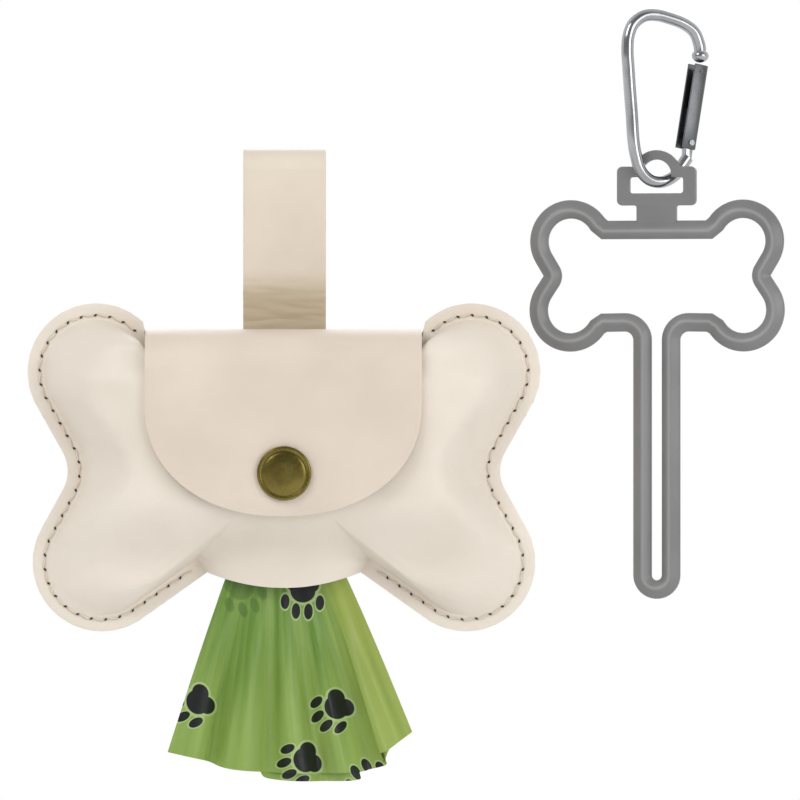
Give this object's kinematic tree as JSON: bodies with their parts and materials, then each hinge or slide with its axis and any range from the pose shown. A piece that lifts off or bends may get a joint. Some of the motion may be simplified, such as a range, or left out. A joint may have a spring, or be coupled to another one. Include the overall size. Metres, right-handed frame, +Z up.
{
  "type": "dog poop bag dispenser",
  "caption": "Bone-shaped leather pouch for a roll of dog waste bags, with snap flap, strap loop and a slotted used-bag carrier on a carabiner.",
  "frame": {"origin": "inside the top of the pouch's strap loop, where the leash passes through", "axes": "+X to the right as seen from the front, +Y from the front to the back, +Z up"},
  "size_m": [0.2104, 0.0509, 0.2163],
  "materials": {
    "panel_leather": "fine grain, satin",
    "flap_leather": "fine grain, satin",
    "strap_leather": "fine grain, satin",
    "seam_thread": "matt brown thread",
    "antique_brass": "dark antique, polished",
    "snap_brass": "satin",
    "cardboard": "plain matt cardboard",
    "film": "thin translucent film",
    "carrier_grey": "smooth moulded silicone-like plastic",
    "carabiner_steel": "polished",
    "pin_steel": "plain"
  },
  "bodies": {
    "pouch": {"back_panel": "panel_leather", "front_panel": "panel_leather", "seam_thread_left": "seam_thread", "seam_thread_right": "seam_thread", "front_snap_stud": "snap_brass", "front_snap_post": "snap_brass", "strap_front": "strap_leather", "strap_snap_stud": "snap_brass", "strap_snap_post": "snap_brass", "strap_thread": "seam_thread"},
    "flap": {"flap": "flap_leather", "flap_snap_cap": "antique_brass", "flap_snap_socket": "snap_brass"},
    "strap_tail": {"strap_tail": "strap_leather", "strap_snap_cap": "antique_brass", "strap_snap_socket": "snap_brass"},
    "roll": {"roll_core": "cardboard", "bag_roll": "film"},
    "film": {"bag_film": "film"},
    "carabiner": {"carabiner_body": "carabiner_steel", "gate_pivot_pin": "pin_steel"},
    "gate": {"carabiner_gate": "carabiner_steel", "gate_catch_pin": "pin_steel", "gate_spring": "pin_steel"},
    "carrier": {"carrier_frame": "carrier_grey"}
  },
  "joints": [
    {"name": "flap_hinge", "type": "hinge", "parent": "pouch", "child": "flap", "pos_m": [0, -0.0046, -0.0504], "axis": [-1, 0, 0], "range_deg": [0, 68]},
    {"name": "strap_open", "type": "hinge", "parent": "pouch", "child": "strap_tail", "pos_m": [0, 0, 0.00165], "axis": [1, 0, 0], "range_deg": [0, 70]},
    {"name": "roll_spin", "type": "hinge", "parent": "pouch", "child": "roll", "pos_m": [0, -0.0204, -0.0655], "axis": [1, 0, 0], "range_deg": [0, 100]},
    {"name": "bag_pull", "type": "slide", "parent": "pouch", "child": "film", "axis": [0, 0, -1], "range_m": [0, 0.0236]},
    {"name": "carabiner_swing", "type": "hinge", "parent": "pouch", "child": "carabiner", "pos_m": [0.1035, -0.00021, 0.0374], "axis": [1, 0, 0], "range_deg": [-45, 45]},
    {"name": "gate_hinge", "type": "hinge", "parent": "carabiner", "child": "gate", "pos_m": [0.1126, 0.00463, 0.0036], "axis": [0.4695, -0.8829, 0], "range_deg": [0, 22], "stiffness_Nm_per_rad": 0.02, "springref_deg": -11.46},
    {"name": "carrier_swing", "type": "hinge", "parent": "carabiner", "child": "carrier", "pos_m": [0.1039, 0, -0.0056], "axis": [0.2079, 0.9781, 0], "range_deg": [-6, 6]}
  ],
  "couplings": [
    {"joint": "bag_pull", "follows": "roll_spin", "m_per_rad": 0.0135}
  ]
}
